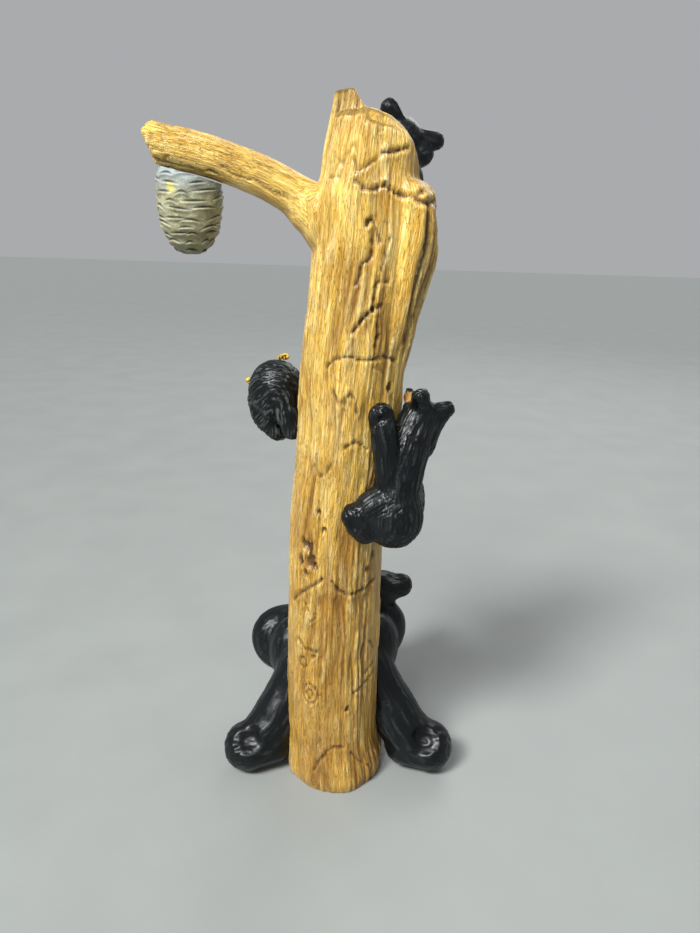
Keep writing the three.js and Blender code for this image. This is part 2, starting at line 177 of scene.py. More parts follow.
def modified_mesh(obj):
    """The object's mesh with its modifiers applied."""
    return bpy.data.meshes.new_from_object(obj.evaluated_get(bpy.context.evaluated_depsgraph_get()))


def discard(obj):
    """The object leaves the scene with its mesh."""
    mesh = obj.data
    bpy.data.objects.remove(obj)
    bpy.data.meshes.remove(mesh)


# ---- Round forms ----

FIRST_SIDE = (0.31, 0.2, 0.93)  # no form starts out along this
SPAN_STEPS = 24
LIMB_SIDES = 30
LIMB_STATIONS = 26
EGG_SIDES = 36
EGG_STATIONS = 26


def catmull(points, count):
    """A smooth curve through the points, at even steps of its length."""
    p = np.array(points, float)
    p = np.vstack([2 * p[0] - p[1], p, 2 * p[-1] - p[-2]])
    fine = []
    for before, start, end, after in zip(p, p[1:], p[2:], p[3:]):
        for t in np.linspace(0, 1, SPAN_STEPS, endpoint=False):
            fine.append(0.5 * (2 * start + (end - before) * t
                               + (2 * before - 5 * start + 4 * end - after) * t ** 2
                               + (3 * start - before - 3 * end + after) * t ** 3))
    fine.append(p[-2])
    fine = np.array(fine)
    length = np.concatenate([[0], np.cumsum(lengths(np.diff(fine, axis=0)))])
    steps = np.linspace(0, length[-1], count)
    return columns(*(np.interp(steps, length, fine[:, k]) for k in range(3))), length[-1]


def frames_along(curve):
    """Tangent and two sides at each point of a curve, turning as little as possible."""
    tangent = np.gradient(curve, axis=0)
    tangent /= lengths(tangent)[:, None]
    side = np.cross(tangent[0], FIRST_SIDE)
    sides = []
    for t in tangent:
        side = side - t * np.dot(side, t)
        side /= np.linalg.norm(side)
        sides.append(side.copy())
    sides = np.array(sides)
    return tangent, sides, np.cross(tangent, sides)


def skin(rings):
    """Vertices and faces of a closed skin over rings of equal length."""
    rings = np.array(rings)
    count, sides = rings.shape[:2]
    verts = [rings.reshape(-1, 3), rings[0].mean(axis=0)[None], rings[-1].mean(axis=0)[None]]
    faces = []
    for r in range(count - 1):
        for s in range(sides):
            n = (s + 1) % sides
            faces.append((r * sides + s, r * sides + n, (r + 1) * sides + n, (r + 1) * sides + s))
    start = count * sides
    for s in range(sides):
        n = (s + 1) % sides
        faces.append((start, n, s))
        faces.append((start + 1, start - sides + s, start - sides + n))
    return np.vstack(verts), faces


def radius_along(radii, share):
    """Radii at even steps, eased to shares of the way from 0 to 1."""
    return along([(i / (len(radii) - 1), radius) for i, radius in enumerate(radii)], share)


def gaps_to(curve, points):
    """How far each point is from each place of a curve."""
    return np.linalg.norm(points[:, None, :] - curve[None, :, :], axis=2)


def along_bone(bone, points, near):
    """Run along the bone and two offsets off it, from the place nearest to each point."""
    curve, tangent, side, other, length, _ = bone
    offset = points - curve[near]
    run, across, over = (np.einsum("ij,ij->i", offset, axis[near]) for axis in (tangent, side, other))
    return length[near] + run, across, over, offset


def spine(joints, count):
    """A curve, its tangent and two sides, and the run along it, at each of its places."""
    curve, length = catmull(joints, count)
    return (curve, *frames_along(curve), np.linspace(0, length, count))


class Form:
    """Round forms that are fused into one skin, with the bones that its fur follows."""

    def __init__(self):
        self.verts = []
        self.faces = []
        self.bones = []

    def add(self, verts, faces):
        start = len(self.verts)
        self.verts.extend(verts)
        self.faces.extend(tuple(i + start for i in face) for face in faces)

    def limb(self, joints, radii, sides=LIMB_SIDES, stations=LIMB_STATIONS, fur=True):
        """A round limb through the joints, with a dome at each end."""
        curve, tangent, side, other, run = spine(joints, stations + 1)
        radius = radius_along(radii, np.linspace(0, 1, stations + 1))
        turn = circle(sides)
        rings = []

        def ring(i, size, push):
            spokes = np.outer(np.cos(turn), side[i]) + np.outer(np.sin(turn), other[i])
            rings.append(curve[i] + tangent[i] * push + size * spokes)

        dome = np.radians(np.linspace(8, 80, 7))
        for lift in dome:
            ring(0, radius[0] * math.sin(lift), -radius[0] * math.cos(lift))
        for i in range(stations + 1):
            ring(i, radius[i], 0)
        for lift in dome[::-1]:
            ring(stations, radius[-1] * math.sin(lift), radius[-1] * math.cos(lift))
        self.add(*skin(rings))
        if fur:
            self.bones.append((curve, tangent, side, other, run, radius))

    def bone(self, joints, radius, steps=17):
        """A line that the fur of the skin near it follows."""
        self.bones.append((*spine(joints, steps), np.full(steps, radius)))

    def egg(self, centre, half, turn=(0, 0, 0), fur_axis=None):
        """An egg with three half widths, turned by angles in degrees."""
        rings = []
        around = circle(EGG_SIDES)
        for lift in np.radians(np.linspace(4, 176, EGG_STATIONS)):
            x = np.sin(lift) * np.cos(around)
            y = np.sin(lift) * np.sin(around)
            rings.append(columns(x, y, np.full(EGG_SIDES, -np.cos(lift))))
        verts, faces = skin(rings)
        self.add(turned(verts * np.array(half), turn) + np.array(centre), faces)
        if fur_axis:
            reach = np.array(fur_axis, float) * min(half) * 0.5
            self.bone([centre - reach, centre, centre + reach], float(np.mean(half)), 9)


def fuse(name, form, voxel, squeeze=1.0):
    """Points and quads of one closed skin round a form: a voxel remesh, with z squeezed in it."""
    scale = np.array([1, 1, squeeze])
    obj = add_mesh(name, np.array(form.verts) * scale, form.faces)
    remesh = obj.modifiers.new("fuse", "REMESH")
    remesh.mode = "VOXEL"
    remesh.voxel_size = voxel
    mesh = modified_mesh(obj)
    discard(obj)
    points = np.empty(len(mesh.vertices) * 3)
    mesh.vertices.foreach_get("co", points)
    quads = np.empty(len(mesh.loops), int)
    mesh.loops.foreach_get("vertex_index", quads)
    if len(quads) != 4 * len(mesh.polygons):
        raise RuntimeError("a fused skin should be all quads")
    bpy.data.meshes.remove(mesh)
    return points.reshape(-1, 3) / scale, quads.reshape(-1, 4)


def relax(points, quads, rounds):
    """Smooth a skin: each round, every point goes half way to the mean of its neighbours."""
    edges = np.vstack([quads[:, [0, 1]], quads[:, [1, 2]], quads[:, [2, 3]], quads[:, [3, 0]]])
    degree = np.bincount(edges.ravel(), minlength=len(points)).astype(float)
    for _ in range(rounds):
        total = np.zeros_like(points)
        for k in range(3):
            total[:, k] = np.bincount(edges[:, 0], points[edges[:, 1], k], len(points))
            total[:, k] += np.bincount(edges[:, 1], points[edges[:, 0], k], len(points))
        points = points + 0.5 * (total / degree[:, None] - points)
    return points


def normals_of(points, quads):
    """The outward direction at each point of a quad skin."""
    p = points[quads]
    face = np.cross(p[:, 2] - p[:, 0], p[:, 3] - p[:, 1])
    out = np.zeros_like(points)
    for corner in range(4):
        for k in range(3):
            out[:, k] += np.bincount(quads[:, corner], face[:, k], len(points))
    return out / np.maximum(lengths(out), 1e-12)[:, None]


# ---- The log's shape ----

AXIS = [(0, -2.4), (22, -4.2), (85, -4.0), (145, -0.6), (200, 2.9), (HEIGHT, 4.9)]
RADIUS = [
    (0, FOOT_RADIUS - 0.7), (4, FOOT_RADIUS), (24, 16.9), (60, TRUNK_RADIUS), (105, TRUNK_RADIUS),
    (150, 16.7), (178, 16.6), (204, 15.6), (214, TOP_RADIUS), (HEIGHT, TOP_RADIUS - 2),
]
# The thick bark at the right of the top.
SLAB_FOOT = 150
SLAB_TOP = 210
SLAB_ROUND = 7
SLAB_HALF_ANGLE = 62
SLAB_EDGE_ANGLE = 24
BRANCH_JOINTS = [
    (2, 0, 192), (-9, 0, 198), (-17.5, 0, 204.2), (-24.8, -1, 208.3), (-32.1, -2, 211.3),
    (-39.2, -3, 213.6), (-46.2, -4, 215.4), (-53.1, -5, 216.7), (-62.5, -6, 218.1),
]
BRANCH_RADII = [11.5, 10.4, 7.6, 6.1, BRANCH_RADIUS, 5.7, 5.7, 5.8, 6]


# Waves round the log: share of its radius, how many, twist per mm of height, start.
CHISEL = [(0.018, 3, 0.045, 0), (0.013, 5, -0.071, 1.3), (0.008, 9, 0.16, 0)]


def trunk_radius(turn, z):
    """The log's surface, off its axis, for angles in radians and heights in mm."""
    chisel = sum(share * np.sin(lobes * turn + z * twist + start) for share, lobes, twist, start in CHISEL)
    toe = FOOT_TOE * np.maximum(0, -np.sin(turn)) * (1 - ease(z, 2, 16))
    return along(RADIUS, z) * (1 + chisel) + toe


def log_ring(turn, z, radius):
    """A level ring of points at a distance off the log's axis."""
    x = along(AXIS, z) + radius * np.cos(turn)
    return columns(x, radius * np.sin(turn), np.full_like(turn, z))


def beside(angle, z, distance):
    """A place beside the log: degrees from +X towards +Y, height, distance off its axis."""
    turn = math.radians(angle)
    return (float(along(AXIS, z)) + distance * math.cos(turn), distance * math.sin(turn), z)


def about_log(points):
    """Angle round the log and distance off its axis."""
    x = points[:, 0] - along(AXIS, points[:, 2])
    return np.arctan2(points[:, 1], x), np.hypot(x, points[:, 1])


def clear_of_log(points):
    """Points inside the log come out to its surface, and points under the ground up to it."""
    turn, distance = about_log(points)
    least = trunk_radius(turn, points[:, 2]) + CLEARANCE
    push = np.where((distance < least) & (points[:, 2] < CLEAR_BELOW), least - distance, 0)
    points = points + columns(push * np.cos(turn), push * np.sin(turn), push * 0)
    points[:, 2] = np.maximum(points[:, 2], GROUND_GAP)
    return points


# ---- Pieces ----

def piece(node, points, faces, material, values):
    """A finished mesh in the row frame that replaces its CAD node, with values for its paint."""
    obj = add_mesh(node, to_row(points), faces)
    mesh = obj.data
    for key, value in values.items():
        kind, field = ("FLOAT_VECTOR", "vector") if value.ndim == 2 else ("FLOAT", "value")
        attribute = mesh.attributes.new(key, kind, "POINT")
        attribute.data.foreach_set(field, value.astype(np.float32).ravel())
    mesh.polygons.foreach_set("use_smooth", np.ones(len(mesh.polygons), bool))
    mesh.materials.append(material)
    mesh.update()
    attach(obj, "root")
    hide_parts(node)


FUR_ALONG = 0.10                # strokes are long: this against FUR_ACROSS
FUR_ACROSS = 0.85
FUR_CURL = 0.22
FUR_WIDTH = 0.36


def fur_lines(points, bones, scale, seed):
    """Carved strokes of fur that run along the bones: 1 in the cuts, 0 between them."""
    depth = np.zeros(len(points))
    weights = []
    strokes = []
    for number, bone in enumerate(bones):
        ratio = gaps_to(bone[0], points) / bone[-1][None, :]
        run, across, over, _ = along_bone(bone, points, ratio.argmin(axis=1))
        local = columns(run * FUR_ALONG, across * FUR_ACROSS, over * FUR_ACROSS) / scale
        local += FUR_CURL * noise(points / (3.5 * scale), seed + 50)[:, None]
        weights.append(ratio.min(axis=1))
        strokes.append((local, seed + number))
    weights = np.array(weights)
    weights = np.exp(-9 * (weights - weights.min(axis=0)))
    weights /= weights.sum(axis=0)
    for weight, (local, salt) in zip(weights, strokes):
        used = weight > 0.02
        if not used.any():
            continue
        some = local[used]
        cut = 0.8 * grooves(some, salt, FUR_WIDTH) + 0.4 * grooves(some * 1.8 + 7.3, salt + 9, FUR_WIDTH)
        depth[used] += weight[used] * np.clip(cut, 0, 1)
    return depth


# ---- Bears ----

def unit(v):
    v = np.array(v, float)
    return v / np.linalg.norm(v)


def segment_gap(points, start, end):
    """How far each point is from the straight line between two places."""
    run = np.array(end, float) - start
    t = np.clip((points - start) @ run / np.dot(run, run), 0, 1)
    return lengths(points - start - t[:, None] * run)


class Bear(Form):
    """A bear's skin, and the dents and grooves that are carved in it after it is fused."""

    def __init__(self):
        super().__init__()
        self.dents = []         # centre, radius and depth
        self.cuts = []          # ends, width and depth
        self.muzzles = []       # ends and radius, painted tan
        self.noses = []         # centre and radius, painted black: the eyes too

    def climb(self, places, radii):
        """A limb through places beside the log."""
        self.limb([beside(*place) for place in places], radii)

    def head(self, centre, look, up, size, ear_angle=50, ear_reach=(1.4, 1.4),
             ear_radii=(0.52, 0.4, 0.48), snout=1.5, ear_tips=None):
        """A skull, muzzle, nose, cheeks, eyes and ears; lengths are shares of `size`."""
        forward = unit(look)
        side = unit(np.cross(forward, up))
        crown = np.cross(side, forward)
        centre = np.array(centre)

        def place(a, b, c):
            return centre + size * (a * side + b * forward + c * crown)

        self.limb([place(0, -0.3, 0), place(0, 0.2, 0.02), place(0, 0.7, -0.14)],
                  [0.88 * size, 0.96 * size, 0.62 * size])
        self.limb([place(0, 0.6, -0.2), place(0, snout - 0.36, -0.3)], [0.56 * size, 0.38 * size])
        self.muzzles.append((place(0, 0.86, -0.3), place(0, snout - 0.3, -0.32), 0.6 * size))
        self.noses.append((place(0, snout + 0.02, -0.14), 0.26 * size))
        self.limb([place(-0.12, snout - 0.02, -0.16), place(0.12, snout - 0.02, -0.16)],
                  [0.17 * size, 0.17 * size], fur=False)
        for which, reach in zip((-1, 1), ear_reach):
            self.egg(place(which * 0.36, 0.62, -0.22), [0.42 * size] * 3)
            self.egg(place(which * 0.34, 0.92, 0.24), [0.12 * size] * 3)
            self.noses.append((place(which * 0.34, 0.98, 0.24), 0.15 * size))
            out = math.cos(math.radians(ear_angle)) * which
            lift = math.sin(math.radians(ear_angle))
            joints = [place(out * at, -0.12, lift * at) for at in (0.4, 0.5 + reach * 0.3, reach - 0.3)]
            if ear_tips:
                tip = np.array(ear_tips[(which + 1) // 2])
                joints = [centre * (1 - share) + tip * share for share in (0.3, 0.65, 1)]
            self.limb(joints, [share * size for share in ear_radii])
            self.dents.append((joints[2] + 0.5 * size * forward, 0.36 * size, 0.12 * size))
        mouth = [place(0, snout - 0.05, -0.3), place(0, snout - 0.1, -0.62)]
        self.cuts.append((mouth, 0.07 * size, 0.06 * size))

    def foot(self, heel, toe, radius, sole):
        """A foot with a dished sole that faces along `sole`, and four clefts between its toes."""
        heel = np.array(heel, float)
        toe = np.array(toe, float)
        sole = unit(sole)
        self.limb([heel, (heel + toe) / 2, toe], [radius * 0.86, radius * 0.92, radius])
        ahead = unit(toe - heel)
        ball = heel + 0.7 * (toe - heel)
        across = unit(np.cross(sole, ahead))
        self.dents.append((ball + sole * radius * 0.95, radius * 0.58, radius * 0.27))
        for k in (-1.5, -0.5, 0.5, 1.5):
            root = toe + across * radius * 0.36 * k + sole * radius * 0.8 + ahead * radius * 0.25
            tip = toe + across * radius * 0.42 * k + sole * radius * 0.25 + ahead * radius * 0.95
            self.cuts.append(([root, tip], radius * 0.055, radius * 0.06))

    def build(self, name, material, voxel, fur, depth, soften, seed, worn=0.0):
        """The piece, with strokes of fur at a scale and a depth in mm; `worn` makes its dry-brush paler, as
        painted light.
        """
        points, quads = fuse(name, self, voxel)
        points = relax(points, quads, soften)
        normal = normals_of(points, quads)
        hollow = np.zeros(len(points))
        for centre, radius, sink in self.dents:
            bowl = 1 - ease(lengths(points - centre) / radius, 0.3, 1.2)
            points = points - normal * (sink * bowl)[:, None]
            hollow = np.maximum(hollow, bowl)
        cut = np.zeros(len(points))
        for (start, end), width, sink in self.cuts:
            line = bell(segment_gap(points, start, end), width * 2.4)
            points = points - normal * (sink * line)[:, None]
            cut = np.maximum(cut, line)
        normal = normals_of(points, quads)
        lines = fur_lines(points, self.bones, fur, seed)
        broad = noise(points / (fur * 5), seed + 31)
        height = -depth * lines * (0.75 + 0.25 * broad) + 0.25 * depth * broad
        points = clear_of_log(points + normal * height[:, None])
        tan = np.zeros(len(points))
        for start, end, radius in self.muzzles:
            tan = np.maximum(tan, 1 - ease(segment_gap(points, start, end) / radius, 0.85, 1.15))
        for centre, radius in self.noses:
            tan = np.minimum(tan, ease(lengths(points - centre) / radius, 0.9, 1.2))
        # cut marks the fur strokes, clefts and hollows: they take painted shade and no dry-brush
        values = {"cut": np.clip(lines * 0.9 + cut + 0.9 * hollow, 0, 1), "tan": tan,
                  # worn: how much paler the dry-brush is painted, as painted light
                  "worn": np.full(len(points), worn)}
        piece(name, points, quads.tolist(), material, values)


def mother_bear():
    bear = Bear()
    bear.egg((-4, 38, 17.5), (22, 19, 18.5), fur_axis=(0, 0, 1))
    bear.limb([(-4, 38, 20), (-3, 39, 38), (-1, 38, 52)], [19, 16, 12.5], sides=48)
    bear.egg((-18.2, 18, 35), (11.8, 12, 16.5), (8, -10, 0), fur_axis=(0, 0.2, 1))
    bear.egg((10.6, 18, 38), (11, 12, 16.5), (8, 10, 0), fur_axis=(0, 0.2, 1))
    bear.limb([(-15.5, 9, 37), (-20.5, 5.5, 27), (-25.5, 0.8, 16.5), (-31, -3.4, 10)], [9.4, 8.8, 9.8, 9.6])
    bear.limb([(8.2, 10, 40), (14.8, 6.5, 29), (22, 1.4, 17), (28.5, -1.4, 10.2)], [8.8, 8.6, 9.6, 9.6])
    bear.foot((-26.5, -3, 8.8), (-35.2, -5.6, 9), 9.4, (-0.25, -0.68, 0.72))
    bear.foot((24.5, -1.5, 9), (33, -2.8, 9.5), 9.6, (0.05, -0.68, 0.72))
    bear.limb([(-13, 34, 40.5), (-29.2, 29, 39.4), (-29.4, 25, 32.5), (-19, 18, 31)], [7.4, 8.2, 7.2, 6.4])
    bear.limb([(9, 34, 45), (17, 29.5, 45.2), (17.2, 26, 38), (10, 18, 35)], [7.2, 7.2, 6.6, 6])
    bear.head((3.2, 37, 53.4), (-0.25, -0.28, 0.9), (0.75, 0.6, 0.26), 13, ear_reach=(1.82, 1.86),
              ear_radii=(0.74, 0.58, 0.39))
    return bear


def right_cub():
    bear = Bear()
    bear.climb([(-43, 108.5, 23.6), (-39, 120, 22.2), (-30, 132, 22), (-21, 139, 23.4)],
               [9.8, 7.8, 7.8, 6.4])
    bear.climb([(-42, 114, 22.6), (-58, 112, 20.6), (-70, 107.5, 19.8)], [7.8, 6.6, 5.2])
    bear.climb([(-28, 111, 23), (4, 113, 21), (34, 109, 19.5)], [7.4, 6.6, 5.2])
    bear.foot(beside(-65, 104.5, 20.5), beside(-75, 110, 20), 4.9, (-0.35, -0.9, 0.1))
    bear.climb([(-48, 120, 21.8), (-55, 131, 21), (-61, 142.5, 20)], [4.6, 4.3, 4.2])
    bear.climb([(-22, 131, 22), (4, 134, 20.4), (20, 135, 19.5)], [4.6, 4.1, 3.8])
    bear.head(beside(-17.5, 140, 23.8), (-0.3, 0.6, 0.8), (0.56, -0.5, 0.62), 6, snout=1.7,
              ear_tips=[(21.2, -12, 147.6), (30, -6.7, 142.6)], ear_radii=(0.62, 0.54, 0.51))
    for end in ((12.8, -19.6, 144.5), (5.6, -19.6, 140.4)):
        bear.cuts.append((((9.2, -21.9, 142.3), end), 0.5, 0.75))
    bear.limb([(23, -7.4, 138.5), (28.4, -6.8, 141)], [6.2, 3.4])
    bear.limb([(22.7, -8, 140), (21.6, -11, 145.2)], [5.4, 3.2])
    bear.limb([(22, -9, 131), (27.4, -7, 139.5)], [5, 3.2])
    return bear


def left_cub():
    bear = Bear()
    bear.egg((-26, 12, 143.2), (9.8, 9.8, 10.4))
    bear.bone([(-35, 8, 139), (-28, 4, 146), (-21, 3, 144), (-18.5, 3.5, 134), (-18, 4, 128)], 8.4)
    bear.limb([(-24, 14, 141), (-19, 22, 138.5), (-12, 29, 142)], [9, 7.6, 6.2])
    bear.limb([(-24, 8.5, 141.5), (-21.6, 6.5, 136), (-20, 5.5, 130.8)], [6.6, 5, 3.6], fur=False)
    bear.limb([(-32, 14, 139), (-29.8, 13, 133.5), (-25.6, 13, 129.4)], [4.6, 4.9, 4.8], fur=False)
    bear.egg((-27.6, 4.6, 138.2), (2.9, 2.4, 3.6), (0, 20, 0))
    bear.limb([(-16, 25, 136), (-14, 21, 134), (-6, 19, 133)], [4.4, 4, 3.7])
    bear.limb([(-9, 28, 143), (0, 24, 147), (5, 20, 151)], [4.3, 3.9, 3.7])
    bear.head((-6, 32, 147), (0.6, 0.35, 0.5), (-0.3, 0.6, 0.6), 6.2)
    return bear


def top_cub():
    bear = Bear()
    bear.climb([(84, 180, 23), (82, 195, 22.4), (68, 208, 21), (60, 217, 20.4)],
               [9, 8.2, 7, 5.8])
    bear.climb([(96, 182, 22), (108, 185, 20.6), (116, 180, 19.8)], [7.4, 6.2, 5.2])
    bear.climb([(68, 182, 22), (50, 185, 21), (38, 180, 20.5)], [7.2, 6, 5])
    bear.foot(beside(112, 176, 20.2), beside(119, 181, 19.6), 4.7, (-0.6, 0.7, 0))
    bear.climb([(92, 205, 20), (104, 212, 17), (112, 219, 14)], [4.2, 3.8, 3.6])
    bear.climb([(54, 205, 20), (40, 211, 17), (30, 214, 13)], [4.2, 3.8, 3.6])
    bear.head((13.9, 20, 224.4), (-0.1, 0.75, 0.12), (0.48, 0.12, 0.87), 6.2, ear_angle=26,
              ear_reach=(1.84, 1.92), ear_radii=(0.72, 0.5, 0.5))
    bear.limb([(13, 20, 221), (19.5, 19, 219.5)], [5, 4.2])
    return bear


# ---- The log's carving ----

# Cracks: half width and depth in mm, then the angle round the log in degrees (-90 faces
# forward) and the height in mm of each point on the way.
CRACKS = [
    (0.6, 0.8, -49, 218, -65, 217, -80, 216), (0.5, 0.5, -80, 216, -95, 213, -107, 211, -111, 214),
    (0.5, 0.4, -119, 215, -118, 218, -112, 218, -109, 214), (0.5, 0.35, -134, 215, -126, 213, -122, 216),
    (0.5, 0.35, -117, 213, -112, 215), (0.6, 0.8, -106, 209, -97, 207, -85, 207, -74, 208),
    (0.6, 0.8, -74, 208, -61, 206, -48, 205, -40, 207), (0.8, 1.1, -44, 204, -26, 204, -8, 205),
    (0.5, 0.4, -146, 210, -128, 210), (0.4, 0.35, -88, 224, -85, 216),
    (0.6, 0.8, -90, 197, -86, 199, -82, 197, -76, 193),
    (0.6, 0.8, -84, 196, -83, 191, -85, 188, -92, 187, -96, 181),
    (0.55, 0.7, -66, 194, -71, 187, -75, 180, -75, 174), (0.55, 0.6, -76, 181, -63, 182),
    (0.65, 0.9, -68, 175, -76, 174, -83, 172, -90, 169, -95, 167),
    (0.5, 0.5, -69, 170, -66, 167, -68, 163),
    (0.55, 0.7, -120, 156, -110, 159, -96, 160, -75, 159, -53, 160, -38, 158),
    (0.45, 0.35, -76, 158, -59, 156, -42, 152), (0.55, 0.6, -110, 150, -102, 146, -95, 146),
    (0.55, 0.6, -96, 147, -90, 149, -84, 147, -83, 143), (0.55, 0.6, -92, 132, -82, 134, -68, 131),
    (0.55, 0.6, -131, 125, -121, 121, -112, 122, -106, 126),
    (0.55, 0.7, -148, 74, -135, 78, -118, 82, -106, 85),
    (0.6, 0.8, -93, 85, -87, 82, -75, 80, -61, 80, -47, 81, -32, 83),
    (0.5, 0.6, -131, 75, -120, 71, -112, 71), (0.5, 0.5, -120, 68, -113, 70),
    (0.55, 0.7, -138, 60, -127, 57, -108, 57), (0.55, 0.6, -60, 40, -46, 42, -28, 45),
    (0.5, 0.5, -46, 46, -29, 49), (0.5, 0.5, -51, 54, -46, 59), (0.5, 0.5, -37, 59, -26, 54),
    (0.55, 0.6, -112, 8, -106, 12, -94, 17, -84, 19, -74, 18), (0.5, 0.45, -64, 15, -54, 11, -42, 7),
    (0.5, 0.4, -104, 55, -101, 38, -104, 20), (0.8, 0.8, -36, 203, -33, 190, -36, 177, -30, 164),
    (0.9, 1.0, -24, 200, -20, 186, -25, 172, -18, 158), (0.8, 0.9, -10, 198, -13, 180, -8, 166),
    (0.6, 0.6, 150, 190, 165, 170, 160, 150, 172, 120), (0.6, 0.6, 80, 170, 88, 140, 84, 110),
    (0.55, 0.6, 20, 190, 28, 150, 22, 128), (0.55, 0.5, 10, 90, 16, 60, 8, 30),
]
# Knots and pits as (angle, height, half width in mm, depth in mm).
PITS = [
    (-90, 198, 0.9, 1.1), (-66, 166, 0.9, 0.9), (-43, 150, 1.0, 1.3), (-52, 142, 0.8, 0.7),
    (-116, 109, 0.9, 0.9), (-134, 97, 1.3, 1.1), (-125, 96, 1.5, 1.4), (-115, 89, 1.2, 1.3),
    (-108, 103, 1.0, 1.0), (-121, 91, 1.8, 1.5), (-136, 90, 1.5, 1.4), (-128, 86, 1.3, 1.2),
    (-114, 55, 0.8, 0.9), (-69, 34, 0.9, 0.9), (-155, 48, 0.6, 0.8), (-152, 43, 0.6, 0.8),
    (-46, 88, 1.1, 0.8), (-38, 93, 1.3, 1.0),
    (60, 130, 1.4, 1.2), (120, 150, 1.4, 1.1), (30, 70, 1.6, 1.2), (170, 100, 1.5, 1.2),
]
# Cracks along the branch: from and to, in mm from its root, degrees from its top forwards, depth.
BRANCH_CRACKS = [
    (24, 50, 112, 0.5), (34, 66, 78, 0.3), (20, 40, 60, 0.3), (46, 70, 140, 0.6), (30, 60, -70, 0.4),
]
KNOT_RING = 63
# Ringed knots: (angle, height, ring radii in mm).
RINGED = [(-117, 40, (1.3, 3.0)), (-130, 51, (1.7,)), (95, 95, (1.4, 3.0))]
SPREAD = 16.5                   # mm round the log for one radian
FAR = 9.0                       # farther than any crack reaches, in mm


def wrapped(angle):
    """The same angle between -pi and pi."""
    return (angle + math.pi) % (2 * math.pi) - math.pi


def log_relief(turn, z):
    """How deep the cracks, pits and knots go into the log's surface, in mm."""
    depth = np.zeros(len(z))
    wobble = 0.35 * sheet_noise(turn * 22, z * 0.9, 71)

    def across(angle):
        return wrapped(turn - math.radians(angle)) * SPREAD

    for width, sink, *points in CRACKS:
        nearest = np.full(len(z), FAR)
        for angle, height, to_angle, to_height in zip(points[::2], points[1::2], points[2::2], points[3::2]):
            place = columns(across(angle), z - height)
            run = np.array([math.radians(to_angle - angle) * SPREAD, to_height - height])
            t = np.clip(place @ run / np.dot(run, run), 0, 1)
            nearest = np.minimum(nearest, lengths(place - t[:, None] * run))
        nearest = np.abs(nearest + wobble)
        depth += sink * (bell(nearest, width) - 0.28 * bell(nearest - 2.1 * width, width))
    for angle, height, half, sink in PITS:
        gap = np.abs(np.hypot(across(angle), (z - height) * 0.8) + wobble * half) / half
        depth += sink * (np.exp(-gap ** 4) - 0.2 * bell(gap - 1.5, 0.4))
    for angle, height, rings in RINGED:
        gap = np.hypot(across(angle), (z - height) * 0.85) + wobble
        for ring in rings:
            depth += 0.65 * bell(gap - ring, 0.45) - 0.15 * bell(gap - ring - 0.9, 0.5)
    return depth


def branch_relief(run, offset):
    """How deep the branch's long cracks and its ring of knots are, in mm."""
    around = np.degrees(np.arctan2(-offset[:, 1], offset[:, 2]))
    depth = np.zeros(len(run))
    for start, end, angle, sink in BRANCH_CRACKS:
        line = angle + 9 * sheet_noise(run * 0.3, run * 0, 81)
        window = ease(run, start, start + 3) * (1 - ease(run, end - 3, end))
        depth += sink * window * bell(around - line, 4.5)
    knots = ease(sheet_noise(run * 1.3, around * 0.1, 83), 0.2, 0.6)
    return depth + 0.35 * knots * bell(run - KNOT_RING, 1.6)


def cut_by(verts, faces, cutters):
    """The closed form less each cutter, as vertices and faces."""
    made = [add_mesh("cut", *solid) for solid in [(verts, faces), *cutters]]
    for cutter in made[1:]:
        boolean = made[0].modifiers.new("cut", "BOOLEAN")
        boolean.operation = "DIFFERENCE"
        boolean.solver = "EXACT"
        boolean.object = cutter
    result = modified_mesh(made[0])
    out = (np.array([v.co[:] for v in result.vertices]), [tuple(p.vertices) for p in result.polygons])
    bpy.data.meshes.remove(result)
    for obj in made:
        discard(obj)
    return out


def prism(outline, near, far, slope=0.0):
    """A closed prism along Y over (x, z) points, anticlockwise, which rises by slope as it goes."""
    n = len(outline)
    front = [(x, near, z - slope * (far - near)) for x, z in outline]
    back = [(x, far, z) for x, z in outline]
    faces = [tuple(range(n)), tuple(range(2 * n - 1, n - 1, -1))]
    faces += [((i + 1) % n, i, n + i, n + (i + 1) % n) for i in range(n)]
    return front + back, faces


SPIKE_LEFT = -8.0
SPIKE_RIGHT = -2.2
SHOULDER_AXIS = (0.5, 208)
SHOULDER_HALF = (18, 20.4)
BEVEL_DEPTH = -9
BEVEL_SLOPE = 1.1


def broken_top():
    """What is missing over the top: a spike stands at the left and a shoulder falls right."""
    high = HEIGHT + 30
    left = SPIKE_LEFT
    right = SPIKE_RIGHT
    outline = [(left - 12, high), (left - 12, HEIGHT - 8), (left, HEIGHT - 2), (left + 0.9, HEIGHT),
               (right, HEIGHT), (right + 1.5, HEIGHT - 1.8), (right + 3, HEIGHT - 5)]
    for turn in np.radians(np.linspace(88, 0, 22)):
        outline.append((SHOULDER_AXIS[0] + SHOULDER_HALF[0] * math.cos(turn),
                        SHOULDER_AXIS[1] + SHOULDER_HALF[1] * math.sin(turn)))
    outline += [(19.5, 206), (60, 205), (60, high)]
    bevel = [point for point in outline if point[0] > right + 2 and point[1] < high]
    bevel = [(bevel[0][0], high), *bevel, (60, high)]
    return [prism(outline, -35, 35), prism(bevel, -35, BEVEL_DEPTH, slope=BEVEL_SLOPE)]


# Eggs that are hollowed out of the top: centre, half widths, turn in degrees.
TOP_HOLLOWS = [((7, 4, 233), (10, 9, 9), (0, 25, 0)), ((-3, 16, 238), (14, 9, 13), (12, 0, 0))]


def top_hollows():
    """The wood behind the spike is hollowed and broken lower than the forward side."""
    hollows = []
    for hollow in TOP_HOLLOWS:
        form = Form()
        form.egg(*hollow)
        hollows.append((form.verts, form.faces))
    return hollows


